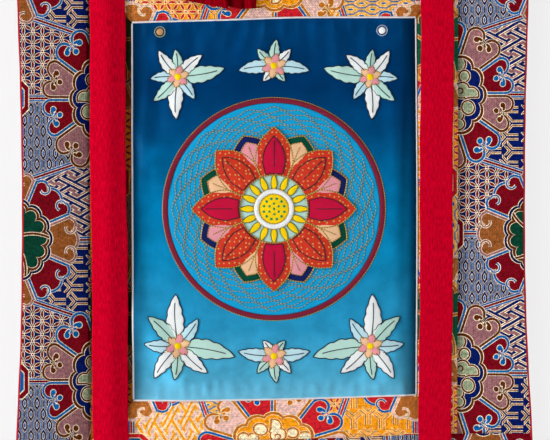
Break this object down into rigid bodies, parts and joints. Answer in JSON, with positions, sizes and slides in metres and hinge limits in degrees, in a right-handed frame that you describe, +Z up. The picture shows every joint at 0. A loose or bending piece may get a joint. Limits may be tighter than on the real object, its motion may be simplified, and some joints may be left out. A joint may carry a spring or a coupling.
{
  "type": "applique thangka",
  "caption": "Hanging textile: a blue satin picture of pieced lotus applique in nested frames of medallion brocade, with hanging ribbons and a gathered silk veil.",
  "frame": {"origin": "middle of the top edge, in the middle of the cloth's thickness", "axes": "+Z up, -Y towards the viewer, +X to the viewer's right"},
  "size_m": [0.5285, 0.0229, 0.7602],
  "materials": {
    "navy_brocade": "figured brocade: maroon, blue, mauve, caramel, green and cream on navy",
    "orange_brocade": "figured brocade: the same pattern on orange",
    "red_binding": "narrow folded edge",
    "blue_satin": "satin, navy at the top to light blue at the foot",
    "white_piping": "twisted piping",
    "gold_satin": "satin stitch over padding",
    "maroon_satin": "satin",
    "sky_satin": "satin with couched gold thread",
    "green_satin": "satin",
    "mint_satin": "satin",
    "red_satin": "silk with woven gold specks",
    "white_satin": "satin",
    "yellow_satin": "satin",
    "crimson_ribbon": "ribbed silk ribbon",
    "veil_silk": "thin silk"
  },
  "bodies": {
    "root": {"outer_top": "navy_brocade", "outer_left": "navy_brocade", "outer_right": "navy_brocade", "outer_bottom": "navy_brocade", "binding_left": "red_binding", "binding_right": "red_binding", "inner_top": "orange_brocade", "inner_bottom": "orange_brocade", "inner_left": "orange_brocade", "inner_right": "orange_brocade", "field": "blue_satin", "piping_top": "white_piping", "piping_right": "white_piping", "piping_bottom": "white_piping", "piping_left": "white_piping", "small_disc_left": "gold_satin", "small_disc_right": "white_satin", "rim": "maroon_satin", "sky_disc": "sky_satin", "green_petals": "green_satin", "mint_disc": "mint_satin", "red_petals": "red_satin", "white_ring": "white_satin", "yellow_centre": "yellow_satin", "spray_upper_left": "mint_satin", "spray_upper_right": "mint_satin", "spray_lower_left": "mint_satin", "spray_lower_right": "mint_satin", "sprig_upper": "mint_satin", "sprig_lower": "mint_satin", "ribbon_left": "crimson_ribbon", "ribbon_right": "crimson_ribbon", "veil": "veil_silk"}
  },
  "joints": []
}
